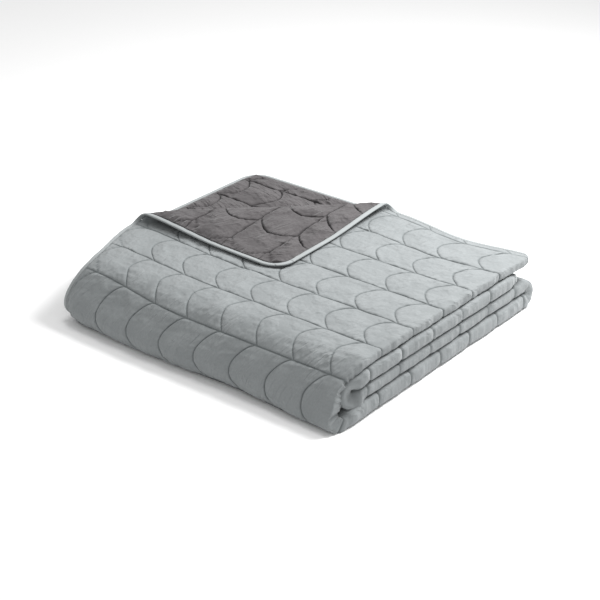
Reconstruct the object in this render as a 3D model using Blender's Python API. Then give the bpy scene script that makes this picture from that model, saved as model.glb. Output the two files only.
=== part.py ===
"""A quilted bedspread, folded in half and then twice more into a stack of eight layers,
with the free corner of its top layer turned back over the stack.

Each piece is first made flat, as it is cut, and then folded.  In the flat pattern u runs across
the width from the long fold at u = 0, v runs along the length from the free end on top of the
stack, and w is the height within the cloth, from -1 on the dark reverse to +1 on the light face.
The folded stack stands on z = 0, with its long fold towards +X and its free ends towards +Y.
"""
import math

import bmesh
import bpy
from mathutils import Matrix

# ---- Driving sizes, metres ----
FLAT_WIDTH = 1.475
FLAT_LENGTH = 2.497
STACK_WIDTH = 0.751        # of the folded stack, along X, to the crest of the long fold
STACK_DEPTH = 0.655        # of the folded stack, along Y
BINDING_WIDTH = 0.010
CORNER_RADIUS = 0.048      # of the flat spread
LAYER_GAP = 0.001          # between one layer and the next
PIECE_GAP = 0.0003         # between one piece and the next

# ---- Quilting: straight seams across the width, and a row of curved seams between each two ----
ROW = 0.0988               # from one straight seam to the next
CELL = 0.0935              # from one curved seam to the next
FIRST_ROW = 0.0235         # from the free end to the first straight seam
FIRST_CELL = 0.0371        # from the long fold to the first curved seam
BULGE = 0.37               # how far a curved seam bows out, in cells
SEAM_WIDTH = 0.010         # how fast the cloth rises beside a seam
SEAM_LEVEL = 0.32          # height of a seam, as a share of the full thickness
ROW_STEPS = (0.0, 0.15, 0.5, 0.70, 0.87)
CELL_STEPS = (0.0, 0.16, 0.5, 0.84)

# ---- The four double strips of the stack, in the order in which the cloth passes through them ----
# name, height in the stack, how far its folded side stands back
STRIPS = (
    ("top", 0.0215, 0.012),
    ("bottom", 0.0350, -0.001),
    ("third", 0.0260, 0.004),
    ("second", 0.0300, 0.005),
)
OUTER_LOW_RADIUS = 0.024   # of the outer fold, where it meets the ground
OUTER_SETBACK = 0.014      # the outer fold is drawn in at the long fold
BACK_FOLD_INSET = 0.003    # the back fold stands in from the free end on top
INNER_FOLD_INSET = 0.008   # the inner fold stands in from the straight part of the outer one
SIDE_STEPS = 6             # facets round the long fold

# ---- Uneven shape ----
FRONT_DROOP = 0.245        # share of its height that the stack loses at the outer fold
FRONT_DROOP_REACH = 0.098  # how far in from the front the droop starts
DROOP_STEP = 0.013
FRONT_FULLNESS = 1.0       # how far the outer fold stands off, low down, in half thicknesses
FRONT_BULGE = 1.2          # how much further it stands off about the middle of its width
FRONT_BULGE_U = -0.50
FRONT_BULGE_WIDTH = 0.17
LEFT_PULL = 0.080          # share of its width that the front edge is pulled in
LEFT_PULL_REACH = (-0.290, -0.060)
BACK_DIP = 0.026           # dip of the free end on top, and where it is
BACK_DIP_X = 0.215
BACK_DIP_WIDTH = 0.110
BACK_DIP_REACH = 0.290

# ---- The corner that is turned back ----
FLAP_LEG = 0.410           # from the corner to the turning line, along each edge
FLAP_RADIUS = 0.0115
FLAP_STRETCH = 1.07        # cloth gives on the bias
FLAP_STEPS = 8
FLAP_SAG_LENGTH = 0.14     # over which the flap comes down to rest on the layer below
FLAP_SAG_STEPS = 5
FLAP_COVER = 0.390         # side of the square that the flap hides

HALF_WIDTH = FLAT_WIDTH / 2
RIM_U = HALF_WIDTH - BINDING_WIDTH - PIECE_GAP
RIM_V = BINDING_WIDTH + PIECE_GAP
RIM_RADIUS = CORNER_RADIUS - RIM_V
CORNER_STEPS = 4           # facets round a corner of the flat spread
CORNER_ANGLES = [math.pi / 2 * step / CORNER_STEPS for step in range(CORNER_STEPS + 1)]
EDGE_LEVEL = 0.45          # the cloth is pressed thin at its bound edge
EDGE_REACH = 0.020
MIDDLE = 0.035             # half the gap between face and reverse, as a share of the thickness
INSIDE_LEVEL = 0.65        # the cloth is pressed thinner on the inside of a tight fold
MEAN_BEND = sum(tall for _, tall, _ in STRIPS) / 16
SIDE_REACH = MEAN_BEND * math.pi / 2          # cloth from the crest of the long fold to its end


def mix(a, b, share):
    return a + (b - a) * share


def smooth(x):
    x = min(max(x, 0.0), 1.0)
    return x * x * (3 - 2 * x)


# ---------------------------------------------------------------- the path of the double strip


class Station:
    """One place along the cloth: where its middle lies, which way it heads, and how thick it is."""

    def __init__(self, v, y, z, heading, height, setback):
        self.v = v
        self.y = y
        self.z = z
        self.normal = (math.sin(heading), -math.cos(heading))
        self.bend = height / 4
        self.half_layer = (height / 2 - LAYER_GAP) / 2
        self.fold_x = STACK_WIDTH / 2 - setback - self.bend - self.half_layer
        reach = (LEFT_PULL_REACH[1] - y) / (LEFT_PULL_REACH[1] - LEFT_PULL_REACH[0])
        self.pull = 1 - LEFT_PULL * smooth(reach)
        self.droop = 1 - FRONT_DROOP * smooth((FRONT_DROOP_REACH - STACK_DEPTH / 2 - y) / FRONT_DROOP_REACH)
        self.dip = BACK_DIP * smooth(1 - v / BACK_DIP_REACH)


class Walk:
    """Follows the middle of the double strip through its folds, leaving stations behind."""

    def __init__(self, y, z):
        self.v, self.y, self.z = 0.0, y, z
        self.heading = math.pi
        self.stations = []

    def leave(self, strip, after, share):
        height = mix(STRIPS[strip][1], STRIPS[after][1], smooth(share))
        setback = mix(STRIPS[strip][2], STRIPS[after][2], smooth(share))
        if (strip, after) == (0, 1):
            setback += OUTER_SETBACK * math.sin(math.pi * share)
        self.stations.append(Station(self.v, self.y, self.z, self.heading, height, setback))

    def straight(self, strip, length):
        """Straight on, with a station at each seam, and closer together where the stack droops."""
        start_v, start_y, forward = self.v, self.y, math.cos(self.heading)
        places = seam_rows(start_v, start_v + length, (0.0, 0.5))
        for step in range(1, int(FRONT_DROOP_REACH / DROOP_STEP)):
            y = FRONT_DROOP_REACH - STACK_DEPTH / 2 - step * DROOP_STEP
            place = start_v + (y - start_y) / forward
            if start_v + 0.004 < place < start_v + length - 0.004:
                places = [other for other in places if abs(other - place) > 0.006] + [place]
        for place in [start_v] + sorted(places) + [start_v + length]:
            self.v = place
            self.y = start_y + (place - start_v) * forward
            self.leave(strip, strip, 0)

    def fold_over(self, strip, arcs, lift):
        """Round the fold after a strip; its arcs are rows of radius, angle and number of facets."""
        total = sum(abs(angle) for _, angle, _ in arcs)
        turned = 0.0
        for radius, angle, steps in arcs:
            turn = math.copysign(1.0, angle)
            centre_y = self.y - radius * turn * math.sin(self.heading)
            centre_z = self.z + radius * turn * math.cos(self.heading)
            for _ in range(steps):
                self.heading += angle / steps
                self.v += (radius + lift) * abs(angle) / steps
                self.y = centre_y + radius * turn * math.sin(self.heading)
                self.z = centre_z - radius * turn * math.cos(self.heading)
                turned += abs(angle) / steps
                if turned < total - 1e-6:
                    self.leave(strip, strip + 1, turned / total)


def strip_centres():
    """Height of each strip's middle above the ground, in the order of STRIPS."""
    height = {name: tall for name, tall, _ in STRIPS}
    centre, level = {}, -LAYER_GAP / 2
    for name in ("bottom", "third", "second", "top"):
        centre[name] = level + height[name] / 2
        level += height[name]
    return [centre[name] for name, _, _ in STRIPS]


def make_stations():
    """Walk along the cloth through four straight strips and the three folds between them."""
    top, bottom, third, second = strip_centres()
    high_radius = top - bottom - OUTER_LOW_RADIUS
    outer = [(high_radius, math.pi / 2, 7), (OUTER_LOW_RADIUS, math.pi / 2, 5)]
    back = [((third - bottom) / 2, math.pi, 8)]
    inner = [((second - third) / 2, -math.pi, 8)]
    half = STACK_DEPTH / 2
    bulk = (STRIPS[0][1] + STRIPS[1][1]) / 4
    front = bulk + high_radius - half
    turn = half - BACK_FOLD_INSET - 2 * back[0][0]

    walk = Walk(half, top)
    marks = {}
    folds = [("outer", outer, MEAN_BEND, front), ("back", back, 0.0, turn),
             ("inner", inner, 0.0, front + INNER_FOLD_INSET)]
    for strip, (name, arcs, lift, end) in enumerate(folds):
        start = walk.v
        walk.straight(strip, abs(end - walk.y))
        marks[STRIPS[strip][0]] = (start, walk.v)
        start = walk.v
        walk.fold_over(strip, arcs, lift)
        marks[name] = (start, walk.v)
    marks[STRIPS[3][0]] = (walk.v, FLAT_LENGTH)
    walk.straight(3, FLAT_LENGTH - walk.v)
    return walk.stations, marks


def seam_rows(start, end, steps, clear=0.004):
    """Places of the straight seams, and of steps between them, well inside a stretch of cloth."""
    rows = []
    first = math.floor((start - FIRST_ROW) / ROW) - 1
    last = math.ceil((end - FIRST_ROW) / ROW) + 1
    for index in range(first, last):
        for step in steps:
            row = FIRST_ROW + (index + step) * ROW
            if start + clear < row < end - clear:
                rows.append(row)
    return rows


STATIONS, MARKS = make_stations()
SIDE_ANGLES = [math.pi * (step / SIDE_STEPS - 0.5) for step in range(SIDE_STEPS + 1)]
SIDE_COLUMNS = [SIDE_REACH * angle / (math.pi / 2) for angle in SIDE_ANGLES]

# ---------------------------------------------------------------- from the flat pattern to the fold


def side_point(u, w, station):
    """Across the strip: place along X, and height above the strip's middle."""
    out = w * station.half_layer
    reach = abs(u)
    if reach >= SIDE_REACH:
        x = station.fold_x - (reach - SIDE_REACH) * station.pull
        return x, math.copysign(station.bend + out, -u)
    place = (u / SIDE_REACH + 1) / 2 * SIDE_STEPS
    step = min(int(place), SIDE_STEPS - 1)
    radius = station.bend + out
    low, high = SIDE_ANGLES[step], SIDE_ANGLES[step + 1]
    share = place - step
    x = station.fold_x + radius * mix(math.cos(low), math.cos(high), share)
    return x, -radius * mix(math.sin(low), math.sin(high), share)


def strip_point(u, w, station):
    x, rise = side_point(u, w, station)
    dip = station.dip * math.exp(-((x - BACK_DIP_X) / BACK_DIP_WIDTH) ** 2)
    height = max(station.z + rise * station.normal[1], 0.0) * station.droop
    return (x, station.y - dip + rise * station.normal[0], height)


def fold(u, v, w):
    """Where a point of the flat pattern lies in the folded stack."""
    index = 1
    while index < len(STATIONS) - 1 and STATIONS[index].v < v:
        index += 1
    before, after = STATIONS[index - 1], STATIONS[index]
    share = (v - before.v) / (after.v - before.v)
    low = strip_point(u, w, before)
    high = strip_point(u, w, after)
    point = tuple(mix(a, b, share) for a, b in zip(low, high))
    if u < 0 and v < MARKS["top"][1]:
        point = turn_back(point, u, v, w)
    return point


def past_turn(u, v):
    """Distance of a point of the top strip past the turning line, towards the free corner."""
    return (FLAP_LEG - (HALF_WIDTH - abs(u)) - v) / math.sqrt(2)


def flap_profile():
    """Stations across the turned corner: distance past the line, run, rise, and the face's normal."""
    half = STATIONS[0].half_layer
    rows = []
    for step in range(FLAP_STEPS + 1):
        angle = math.pi * step / FLAP_STEPS
        rows.append((FLAP_RADIUS * angle,
                     FLAP_RADIUS * math.sin(angle), FLAP_RADIUS * (1 - math.cos(angle)),
                     -math.sin(angle), math.cos(angle)))
    resting = 2 * half + LAYER_GAP
    for step in range(1, FLAP_SAG_STEPS + 1):
        share = step / FLAP_SAG_STEPS
        run = FLAP_SAG_LENGTH * share
        rise = mix(2 * FLAP_RADIUS, resting, smooth(share))
        rows.append((math.pi * FLAP_RADIUS + run, -run * FLAP_STRETCH, rise, 0.0, -1.0))
    far = 1.0
    rows.append((math.pi * FLAP_RADIUS + far, -far * FLAP_STRETCH, resting, 0.0, -1.0))
    return rows


FLAP_PROFILE = flap_profile()


def turn_back(point, u, v, w):
    """Roll a point of the top layer over the diagonal turning line."""
    past = past_turn(u, v)
    if past <= 0:
        return point
    index = 1
    while FLAP_PROFILE[index][0] < past:
        index += 1
    before, after = FLAP_PROFILE[index - 1], FLAP_PROFILE[index]
    share = (past - before[0]) / (after[0] - before[0])
    run, rise, lean, face = (mix(a, b, share) for a, b in zip(before[1:], after[1:]))
    half = STATIONS[0].half_layer
    along = run + lean * w * half - past
    height = STATIONS[0].z + STATIONS[0].bend + rise + face * w * half
    diagonal = along / math.sqrt(2)
    return (point[0] - diagonal, point[1] + diagonal, height)


# ---------------------------------------------------------------- the quilted surface


def seam_bow(across):
    """How far a curved seam bows out at a share of its row, in cells."""
    swell = math.sin(math.pi * min(max(across, 0.0), 1.0))
    return -BULGE * max(swell, 0.0) ** (1 - 0.45 * across)


def puff(u, v):
    """Height of the padded cloth between its seams, from 0 on a seam to 1."""
    across = ((FIRST_ROW - v) / ROW) % 1.0
    along = ((u + FIRST_CELL) / CELL - seam_bow(across)) % 1.0
    rise = 1.0
    for distance in (min(across, 1 - across) * ROW, min(along, 1 - along) * CELL):
        rise *= 1 - math.exp(-distance / SEAM_WIDTH)
    return min(rise * 1.03, 1.0)


def row_puff(v):
    across = ((FIRST_ROW - v) / ROW) % 1.0
    return 1 - math.exp(-min(across, 1 - across) * ROW / SEAM_WIDTH)


def edge_level(u, v, level):
    """Press the cloth thin towards its bound edge."""
    inside = min(RIM_U - abs(u), v - RIM_V, FLAT_LENGTH - RIM_V - v)
    return mix(EDGE_LEVEL, level, smooth(inside / EDGE_REACH))


def face_level(u, v):
    """Height of the light face: quilted where it shows, plain inside the stack."""
    top_end, outer_end = MARKS["outer"]
    level = 1.0
    if abs(u) < SIDE_REACH * 1.01:
        level = mix(SEAM_LEVEL, 1.0, row_puff(v))
    elif u < 0 and v < mix(top_end, outer_end, 0.85):
        hidden = v < FLAP_COVER and HALF_WIDTH + u < FLAP_COVER
        if not hidden and past_turn(u, v) < 0:
            level = mix(SEAM_LEVEL, 1.0, puff(u, v))
    start, end = MARKS["inner" if u < 0 else "back"]
    if start - 0.001 < v < end + 0.001:
        level = min(level, INSIDE_LEVEL)
    round_fold = (v - top_end) / (outer_end - top_end)
    full = smooth((round_fold - 0.35) / 0.35) * smooth((1.0 - round_fold) / 0.15)
    bulge = FRONT_BULGE * math.exp(-((u - FRONT_BULGE_U) / FRONT_BULGE_WIDTH) ** 2)
    level += (FRONT_FULLNESS + bulge) * full * smooth(0.5 - u / SIDE_REACH / 2)
    return edge_level(u, v, level)


def reverse_level(u, v):
    """Height of the dark reverse: quilted on the turned corner and on the layer that it bares."""
    level = 1.0
    if v < MARKS["top"][1] and past_turn(u, v) > -0.02:
        level = mix(SEAM_LEVEL, 1.0, puff(u, v))
    if abs(u) < SIDE_REACH * 1.01:
        level = INSIDE_LEVEL
    return -edge_level(u, v, level)


# ---------------------------------------------------------------- flat pieces


def grid_columns():
    """Columns of the flat grid, each with a share of the curved seams' bow that it follows."""
    columns = []
    first = -math.ceil(HALF_WIDTH / CELL)
    for index in range(first, -first + 1):
        for step in CELL_STEPS:
            u = (index + step) * CELL - FIRST_CELL
            follow = 1.0 if u < 0 else smooth((u - 0.24) / 0.16)
            if -RIM_U + 0.050 < u - 0.4 * BULGE * CELL and u < -SIDE_REACH - 0.006:
                columns.append((u, follow))
            elif SIDE_REACH + 0.025 < u < RIM_U - 0.012:
                columns.append((u, follow))
    columns += [(u, 0.0) for u in SIDE_COLUMNS]
    for side in (-1, 1):
        columns += [(side * RIM_U, 0.0), (side * (RIM_U - EDGE_REACH * 0.5), 0.0)]
        if side < 0:
            columns.append((side * (RIM_U - 0.036), 0.3))
    return sorted(columns)


def grid_rows():
    """Rows of the flat grid: every station, the seams where they show, and the rounded corners."""
    rows = [station.v for station in STATIONS if RIM_V + 0.004 < station.v < FLAT_LENGTH - RIM_V - 0.004]
    for name, _, _ in STRIPS:
        start, end = MARKS[name]
        steps = ROW_STEPS if name == "top" else (0.14, 0.86)
        rows += seam_rows(max(start, RIM_V), min(end, FLAT_LENGTH - RIM_V), steps)
    for angle in CORNER_ANGLES:
        inset = RIM_V + RIM_RADIUS * (1 - math.cos(angle))
        rows += [inset, FLAT_LENGTH - inset]
    rows.sort()
    kept = [rows[0]]
    for row in rows[1:]:
        if row - kept[-1] > 0.0015:
            kept.append(row)
    return kept


COLUMNS = grid_columns()


def corner_width(inset):
    """Width left of a rounded corner, as a share of its radius, at a distance in from the edge."""
    index = 1
    while RIM_RADIUS * (1 - math.cos(CORNER_ANGLES[index])) < inset:
        index += 1
    low, high = CORNER_ANGLES[index - 1], CORNER_ANGLES[index]
    share = (1 - inset / RIM_RADIUS - math.cos(low)) / (math.cos(high) - math.cos(low))
    return mix(math.sin(low), math.sin(high), share)


def column_place(column, v):
    """Place across the width of a grid column at one row, drawn in at the rounded corners."""
    u, follow = column
    across = ((FIRST_ROW - v) / ROW) % 1.0
    u += follow * seam_bow(across) * CELL
    inset = min(v - RIM_V, FLAT_LENGTH - RIM_V - v)
    straight = RIM_U - RIM_RADIUS
    if inset < RIM_RADIUS - 1e-6 and abs(u) > straight:
        u = math.copysign(straight + (abs(u) - straight) * corner_width(inset), u)
    return u


def make_panel(name, level, middle, material):
    """A panel of the spread with its half of the wadding, cut flat and then folded."""
    rows = grid_rows()
    mesh = bpy.data.meshes.new(name)
    bm = bmesh.new()
    bmesh.ops.create_grid(bm, x_segments=len(COLUMNS) - 1, y_segments=len(rows) - 1, size=1.0)
    bm.verts.ensure_lookup_table()
    for index, vert in enumerate(bm.verts):
        v = rows[index // len(COLUMNS)]
        vert.co = (column_place(COLUMNS[index % len(COLUMNS)], v), v, middle)
    sheet = bmesh.ops.extrude_face_region(bm, geom=bm.faces[:], use_keep_orig=True)
    for item in sheet["geom"]:
        if isinstance(item, bmesh.types.BMVert):
            item.co.z = level(item.co.x, item.co.y)
    bmesh.ops.remove_doubles(bm, verts=bm.verts[:], dist=1e-5)
    cut_turning_lines(bm)
    finish_folded(bm, mesh)
    return place(name, mesh, material)


def cut_turning_lines(bm):
    """Cut the flat corner along every line where the turned corner bends."""
    for row in FLAP_PROFILE[:-1]:
        corner = [face for face in bm.faces if face.calc_center_median().x < 0
                  and face.calc_center_median().y < FLAP_LEG + CELL]
        edges = {edge for face in corner for edge in face.edges}
        verts = {vert for face in corner for vert in face.verts}
        offset = FLAP_LEG - row[0] * math.sqrt(2)
        bmesh.ops.bisect_plane(bm, geom=corner + list(edges) + list(verts), dist=0.0004,
                               plane_co=(-HALF_WIDTH, offset, 0.0), plane_no=(1.0, 1.0, 0.0))


def finish_folded(bm, mesh):
    """Fold a flat piece, and leave out the edges of its plain flat parts."""
    for vert in bm.verts:
        vert.co = fold(*vert.co)
    if bm.calc_volume(signed=True) < 0:
        bmesh.ops.reverse_faces(bm, faces=bm.faces[:])
    bmesh.ops.triangulate(bm, faces=bm.faces[:], quad_method="FIXED", ngon_method="EAR_CLIP")
    bmesh.ops.dissolve_limit(bm, angle_limit=math.radians(0.1), verts=bm.verts[:], edges=bm.edges[:])
    bmesh.ops.triangulate(bm, faces=bm.faces[:], quad_method="BEAUTY", ngon_method="BEAUTY")
    bm.to_mesh(mesh)
    bm.free()
    mesh.shade_smooth()


def binding_route():
    """Closed route of the binding's middle round the flat spread."""
    half = HALF_WIDTH - BINDING_WIDTH / 2
    near, far = BINDING_WIDTH / 2, FLAT_LENGTH - BINDING_WIDTH / 2
    radius = CORNER_RADIUS - BINDING_WIDTH / 2
    straight = HALF_WIDTH - CORNER_RADIUS
    clear = 0.003
    turns = [FLAP_LEG - row[0] * math.sqrt(2) for row in FLAP_PROFILE[:-1]]
    side = [station.v for station in STATIONS]
    side = [v for v in side if CORNER_RADIUS + clear < v < FLAT_LENGTH - CORNER_RADIUS - clear]
    left = sorted(set(side + [v for v in turns if min(abs(v - other) for other in side) > clear]))
    free_end = [column_place(column, RIM_V) for column in COLUMNS]
    free_end = [u for u in free_end if abs(u) < straight - clear]
    free_end = sorted(set(free_end + [v - HALF_WIDTH for v in turns]))
    free_end = [u for index, u in enumerate(free_end) if index == 0 or u - free_end[index - 1] > 0.001]
    far_end = SIDE_COLUMNS + [sign * straight * share for sign in (-1, 1) for share in (0.3, 0.6)]

    def corner(sign_u, end_v, sign_v):
        points = []
        for angle in CORNER_ANGLES:
            points.append((sign_u * (straight + radius * math.sin(angle)),
                           end_v + sign_v * (CORNER_RADIUS - radius * math.cos(angle))))
        return points

    route = [(u, near) for u in free_end]
    route += corner(1, 0.0, 1)
    route += [(half, v) for v in side]
    route += corner(1, FLAT_LENGTH, -1)[::-1]
    route += [(u, far) for u in sorted(far_end, reverse=True)]
    route += corner(-1, FLAT_LENGTH, -1)
    route += [(-half, v) for v in reversed(left)]
    route += corner(-1, 0.0, 1)[::-1]
    return route


def make_binding(material):
    """The bias strip round all four edges: a tube laid flat, pressed to its width, and folded."""
    route = binding_route()
    curve = bpy.data.curves.new("binding_route", "CURVE")
    curve.dimensions = "3D"
    curve.bevel_depth = BINDING_WIDTH / 2
    curve.bevel_resolution = 1
    spline = curve.splines.new("POLY")
    spline.points.add(len(route) - 1)
    for point, (u, v) in zip(spline.points, route):
        point.co = (u, v, 0.0, 1.0)
    spline.use_cyclic_u = True
    guide = bpy.data.objects.new("binding_route", curve)
    bpy.context.scene.collection.objects.link(guide)
    bpy.context.view_layer.update()
    mesh = bpy.data.meshes.new_from_object(guide.evaluated_get(bpy.context.evaluated_depsgraph_get()))
    mesh.name = "binding"
    bpy.data.objects.remove(guide)
    bpy.data.curves.remove(curve)

    bm = bmesh.new()
    bm.from_mesh(mesh)
    for vert in bm.verts:
        u, v, z = vert.co
        vert.co = fold(u, v, z / (BINDING_WIDTH / 2) * EDGE_LEVEL)
    if bm.calc_volume(signed=True) < 0:
        bmesh.ops.reverse_faces(bm, faces=bm.faces[:])
    bmesh.ops.triangulate(bm, faces=bm.faces[:], quad_method="FIXED")
    bm.to_mesh(mesh)
    bm.free()
    mesh.shade_smooth()
    return place("binding", mesh, material)


# ---------------------------------------------------------------- scene objects


def make_material(name, colour, roughness):
    material = bpy.data.materials.new(name)
    material.use_nodes = True
    shader = material.node_tree.nodes["Principled BSDF"]
    shader.inputs["Base Color"].default_value = (*colour, 1.0)
    shader.inputs["Roughness"].default_value = roughness
    shader.inputs["Metallic"].default_value = 0.0
    return material


def place(name, mesh, material):
    mesh.materials.clear()
    mesh.materials.append(material)
    piece = bpy.data.objects.new(name, mesh)
    collection.objects.link(piece)
    return piece


def set_down(pieces):
    """Move the stack so that the middle of its footprint is the origin, on the ground."""
    corners = [vert.co for piece in pieces for vert in piece.data.vertices]
    middle = [(min(corner[axis] for corner in corners) + max(corner[axis] for corner in corners)) / 2
              for axis in (0, 1)]
    ground = min(corner[2] for corner in corners)
    for piece in pieces:
        piece.data.transform(Matrix.Translation((-middle[0], -middle[1], -ground)))


for leftover in list(bpy.data.objects):
    bpy.data.objects.remove(leftover, do_unlink=True)
collection = bpy.data.collections.new("quilted_bedspread")
bpy.context.scene.collection.children.link(collection)

set_down([
    make_panel("face_panel", face_level, MIDDLE, make_material("light_face", (0.40, 0.43, 0.43), 0.85)),
    make_panel("reverse_panel", reverse_level, -MIDDLE,
               make_material("dark_reverse", (0.14, 0.13, 0.13), 0.88)),
    make_binding(make_material("light_binding", (0.46, 0.49, 0.49), 0.80)),
])
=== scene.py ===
import math

import bpy
import numpy as np
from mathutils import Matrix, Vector, noise


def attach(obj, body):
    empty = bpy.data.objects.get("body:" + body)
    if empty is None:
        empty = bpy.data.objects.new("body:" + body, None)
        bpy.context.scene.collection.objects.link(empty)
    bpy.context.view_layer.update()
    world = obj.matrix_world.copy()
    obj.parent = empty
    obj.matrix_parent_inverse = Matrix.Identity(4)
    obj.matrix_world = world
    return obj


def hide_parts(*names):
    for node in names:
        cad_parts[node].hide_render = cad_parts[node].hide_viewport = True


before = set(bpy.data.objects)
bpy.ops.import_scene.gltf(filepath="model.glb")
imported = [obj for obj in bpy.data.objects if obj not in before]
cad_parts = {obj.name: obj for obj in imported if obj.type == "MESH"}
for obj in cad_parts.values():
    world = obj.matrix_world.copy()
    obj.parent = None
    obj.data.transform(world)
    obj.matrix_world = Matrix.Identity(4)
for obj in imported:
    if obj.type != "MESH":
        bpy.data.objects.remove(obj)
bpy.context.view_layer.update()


# ------------------ the studio
# A wide pale floor under soft light: an even white surround, a large lamp high overhead, and
# a smaller one near the back of the long fold.  The camera looks down on the front right corner.

def linear(hex_colour):
    """Linear RGBA of an sRGB hex colour."""
    channels = [int(hex_colour[place:place + 2], 16) / 255 for place in (1, 3, 5)]
    return tuple(c / 12.92 if c <= 0.04045 else ((c + 0.055) / 1.055) ** 2.4
                 for c in channels) + (1.0,)


def add_node(material, kind, settings=None, links=None):
    """Add a node, given its properties or input values and the sources of its inputs."""
    node = material.node_tree.nodes.new(kind)
    for name, value in (settings or {}).items():
        if isinstance(name, str) and hasattr(node, name):
            setattr(node, name, value)
        else:
            node.inputs[name].default_value = value
    for name, source in (links or {}).items():
        material.node_tree.links.new(source, node.inputs[name])
    return node


def new_material(name):
    """An empty material."""
    material = bpy.data.materials.new(name)
    material.use_nodes = True
    material.node_tree.nodes.clear()
    return material


def add_object(name, data):
    """A new object in the scene."""
    thing = bpy.data.objects.new(name, data)
    bpy.context.scene.collection.objects.link(thing)
    return thing


FLOOR_SIZE = 16.0
FLOOR_LEVEL = -0.0004              # just clear of the underside of the stack
bpy.ops.mesh.primitive_plane_add(size=FLOOR_SIZE, location=(0.0, 0.0, FLOOR_LEVEL))
floor = bpy.context.object
floor.name = "floor"
paper = new_material("matt_white_studio_paper")
paper_grain = add_node(paper, "ShaderNodeTexNoise", {"Scale": 3.0, "Detail": 2.0},
                       {"Vector": add_node(paper, "ShaderNodeTexCoord").outputs["Object"]})
paper_colour = add_node(paper, "ShaderNodeMix",
                        {"data_type": "RGBA", 6: linear("#FCFCFC"), 7: linear("#FEFEFE")},
                        {0: paper_grain.outputs["Fac"]})
paper_shader = add_node(paper, "ShaderNodeBsdfPrincipled",
                        {"Roughness": 0.9, "Specular IOR Level": 0.1},
                        {"Base Color": paper_colour.outputs[2]})
add_node(paper, "ShaderNodeOutputMaterial", links={"Surface": paper_shader.outputs["BSDF"]})
floor.data.materials.append(paper)

SURROUND_LIGHT = 0.56
world = bpy.data.worlds.new("white_surround")
world.use_nodes = True
surround = world.node_tree.nodes["Background"].inputs
surround["Color"].default_value = (1.0, 1.0, 1.0, 1.0)
surround["Strength"].default_value = SURROUND_LIGHT
bpy.context.scene.world = world
bpy.context.scene.view_settings.view_transform = "Standard"

# name, place, width, watts
LAMPS = (
    ("overhead_lamp", (-0.4, 1.2, 5.0), 2.0, 66.0),
    ("key_lamp", (0.52, 0.92, 1.22), 0.6, 36.0),
)
for lamp_name, place, width, watts in LAMPS:
    lamp = bpy.data.lights.new(lamp_name, "AREA")
    lamp.shape = "SQUARE"
    lamp.size = width
    lamp.energy = watts
    holder = add_object(lamp_name, lamp)
    holder.location = place
    holder.rotation_euler = (-Vector(place)).to_track_quat("-Z", "Y").to_euler()

CAMERA_AIM = Vector((0.1224, -0.1210, 0.1078))
CAMERA_AZIMUTH = math.radians(38.75)
CAMERA_ELEVATION = math.radians(27.08)
CAMERA_DISTANCE = 3.0074
LENS_MM = 94.77
SENSOR_MM = 36.0
camera_data = bpy.data.cameras.new("camera")
camera_data.lens = LENS_MM
camera_data.sensor_width = SENSOR_MM
camera = add_object("camera", camera_data)
towards_camera = Vector((math.cos(CAMERA_ELEVATION) * math.sin(CAMERA_AZIMUTH),
                         -math.cos(CAMERA_ELEVATION) * math.cos(CAMERA_AZIMUTH),
                         math.sin(CAMERA_ELEVATION)))
camera.location = CAMERA_AIM + towards_camera * CAMERA_DISTANCE
camera.rotation_euler = towards_camera.to_track_quat("Z", "Y").to_euler()
bpy.context.scene.camera = camera


# ------------------ the light face
# The front cloth of the spread, brushed microfibre, with its half of the soft wadding.  It is
# cut flat, quilted to the reverse in straight rows and bowed seams, folded in half with this
# side out, and then in half twice more.  One corner of the top layer is turned back.
#
# In the flat pattern u runs across the width from the long fold, v along the length from the
# free end on top, and w through the cloth, from -1 on the reverse to +1 on this face.

FLAT_WIDTH = 1.475
FLAT_LENGTH = 2.497
HALF_WIDTH = FLAT_WIDTH / 2
STACK_WIDTH = 0.751                # of the folded stack, to the crest of the long fold
STACK_DEPTH = 0.655
STACK_SHIFT = (-0.0016, 0.0069)    # brings the middle of the stack over the origin
BINDING_WIDTH = 0.010
CORNER_RADIUS = 0.048              # of the flat spread
LAYER_GAP = 0.001                  # between one layer and the next
PIECE_GAP = 0.0003                 # between one piece and the next

# name, height in the stack, how far its folded side stands back
STRIPS = (
    ("top", 0.0215, 0.012),
    ("bottom", 0.0350, -0.001),
    ("third", 0.0260, 0.004),
    ("second", 0.0300, 0.005),
)
FOLDS = (("top", "outer"), ("bottom", "back"), ("third", "inner"))  # and the strip before each
OUTER_LOW_RADIUS = 0.024           # of the outer fold, where it meets the floor
FOLD_SETBACK = (0.013, 0.0, 0.015)  # how far the outer, back and inner folds are rounded off
BACK_FOLD_INSET = 0.003            # the back fold stands in from the free end on top
INNER_FOLD_INSET = -0.010          # the inner fold reaches into the hollow of the outer one
MEAN_BEND = sum(tall for _, tall, _ in STRIPS) / 16
SIDE_REACH = MEAN_BEND * math.pi / 2  # cloth from the crest of the long fold to its end
ROUTE_STEP = 0.004
FEWEST_ARC_STEPS = 12


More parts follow.
